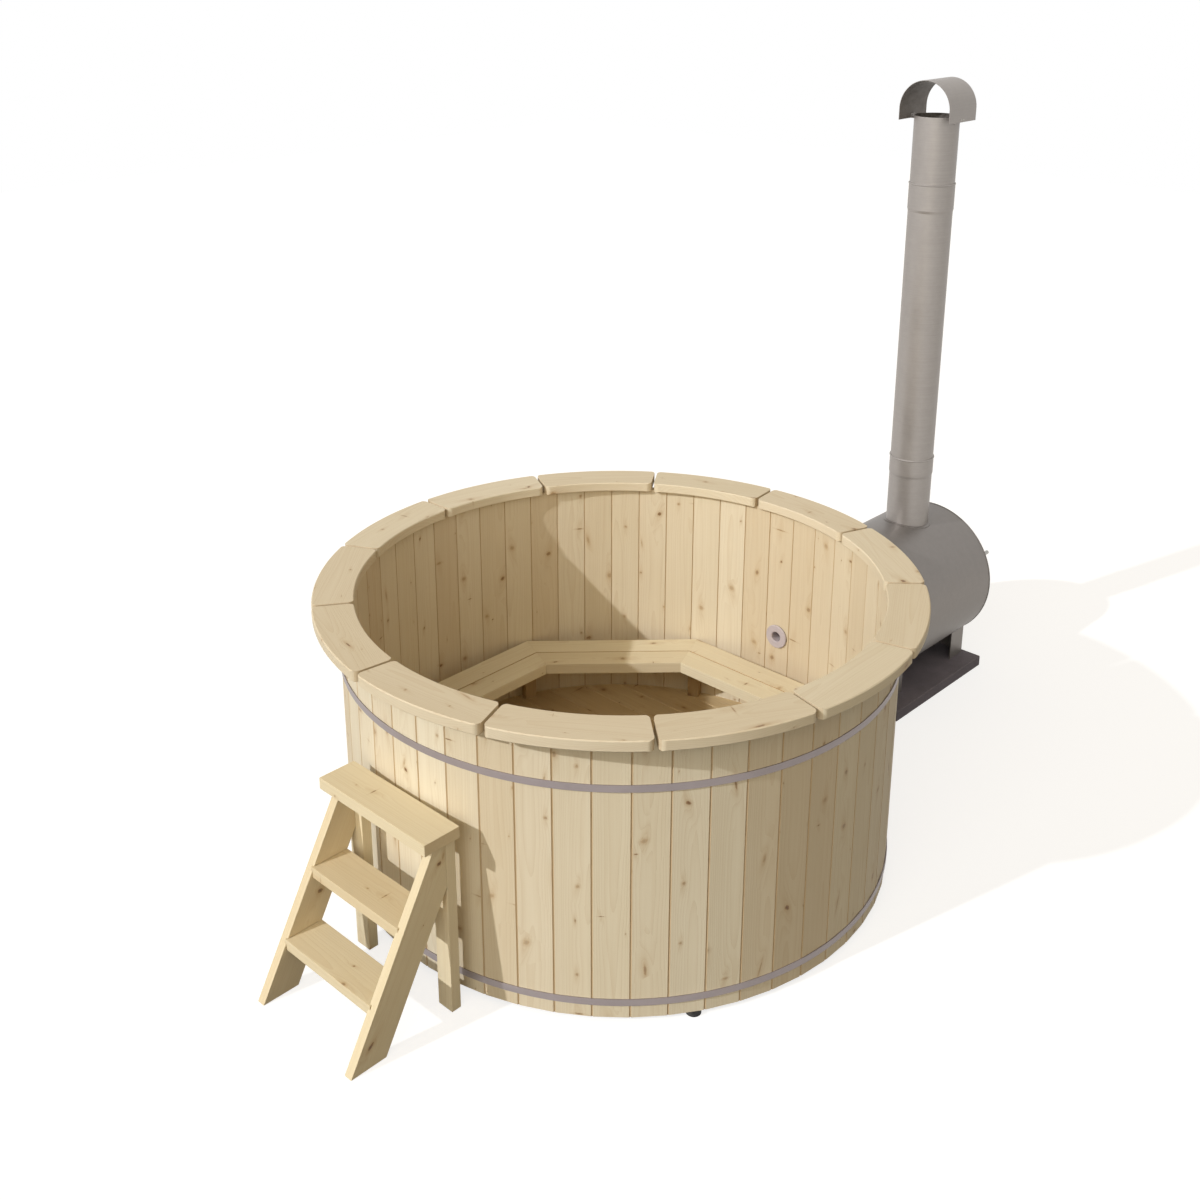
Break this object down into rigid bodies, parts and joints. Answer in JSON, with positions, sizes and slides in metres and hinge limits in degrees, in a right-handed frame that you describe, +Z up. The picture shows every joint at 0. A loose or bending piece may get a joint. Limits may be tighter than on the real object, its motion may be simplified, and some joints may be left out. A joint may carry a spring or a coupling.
{
  "type": "wooden hot tub",
  "caption": "Round outdoor hot tub of coopered wooden staves and steel hoops, with an inside bench, an outside drum stove with a tall chimney, and a small step ladder.",
  "frame": {"origin": "centre of the tub on the ground, at the middle of the underside of the middle floor bearer", "axes": "+Z up, +X from the tub to the stove, -X to the ladder, +Y to the drain"},
  "size_m": [3.4056, 2.043, 2.424],
  "materials": {
    "spruce": "planed, unvarnished",
    "spruce_inside": "planed, unvarnished",
    "hoop_steel": "satin",
    "zinc_steel": "zinc plated",
    "stove_steel": "satin",
    "pipe_steel": "satin",
    "grate_iron": "raw",
    "slab": "smooth concrete",
    "fitting_plastic": "satin",
    "black_rubber": "matt",
    "valve_brass": "nickel plated",
    "handle_paint": "dipped",
    "rope": "woven glass rope"
  },
  "bodies": {
    "tub": {"staves": "spruce", "stove_stave": "spruce", "drain_stave": "spruce", "floor_boards": "spruce_inside", "floor_bearers": "spruce_inside", "support_pads": "black_rubber", "upper_hoop": "hoop_steel", "lower_hoop": "hoop_steel", "hoop_bolts": "zinc_steel", "rim_boards": "spruce", "bench_outer_boards": "spruce_inside", "bench_inner_boards": "spruce_inside", "bench_bearers": "spruce_inside", "bench_posts": "spruce_inside", "bench_cleats": "spruce_inside", "upper_nozzle": "fitting_plastic", "lower_nozzle": "fitting_plastic", "drain_nozzle": "fitting_plastic", "gaskets": "black_rubber", "locknuts": "fitting_plastic", "upper_hose": "black_rubber", "lower_hose": "black_rubber", "hose_clamps": "zinc_steel", "drain_valve": "valve_brass", "drum_shell": "stove_steel", "drum_tub_end": "stove_steel", "drum_door_end": "stove_steel", "firebox": "stove_steel", "grate": "grate_iron", "front_leg": "stove_steel", "rear_leg": "stove_steel", "base_slab": "slab", "hinge_brackets": "stove_steel", "hinge_pins": "zinc_steel", "latch_keeper": "stove_steel", "flue_adapter": "pipe_steel", "flue_collar": "stove_steel", "chimney_pipe": "pipe_steel", "chimney_top": "pipe_steel", "chimney_hood": "pipe_steel", "hood_brackets": "pipe_steel"},
    "door": {"stove_door": "stove_steel", "door_rope": "rope", "vent_rivet": "zinc_steel", "latch_rivet": "zinc_steel"},
    "vent": {"vent_disc": "grate_iron"},
    "latch": {"door_latch": "zinc_steel"},
    "drain_tap": {"drain_ball": "zinc_steel", "drain_handle": "handle_paint", "handle_nut": "zinc_steel"},
    "ladder": {"left_stringer": "spruce", "right_stringer": "spruce", "left_post": "spruce", "right_post": "spruce", "lower_tread": "spruce", "upper_tread": "spruce", "ladder_top": "spruce"}
  },
  "joints": [
    {"name": "door_swing", "type": "hinge", "parent": "tub", "child": "door", "pos_m": [1.9948, 0.238, 0.362], "axis": [0, 0, 1], "range_deg": [0, 120]},
    {"name": "vent_turn", "type": "hinge", "parent": "door", "child": "vent", "pos_m": [1.9946, 0, 0.22], "axis": [1, 0, 0], "range_deg": [0, 45]},
    {"name": "latch_turn", "type": "hinge", "parent": "door", "child": "latch", "pos_m": [2.0006, -0.15, 0.362], "axis": [1, 0, 0], "range_deg": [-30, 60]},
    {"name": "drain_turn", "type": "hinge", "parent": "tub", "child": "drain_tap", "pos_m": [0, 0.99, 0.15], "axis": [0, 0, 1], "range_deg": [0, 90]},
    {"name": "ladder_pull", "type": "slide", "parent": "tub", "child": "ladder", "axis": [-1, 0, 0], "range_m": [0, 0.5]}
  ]
}
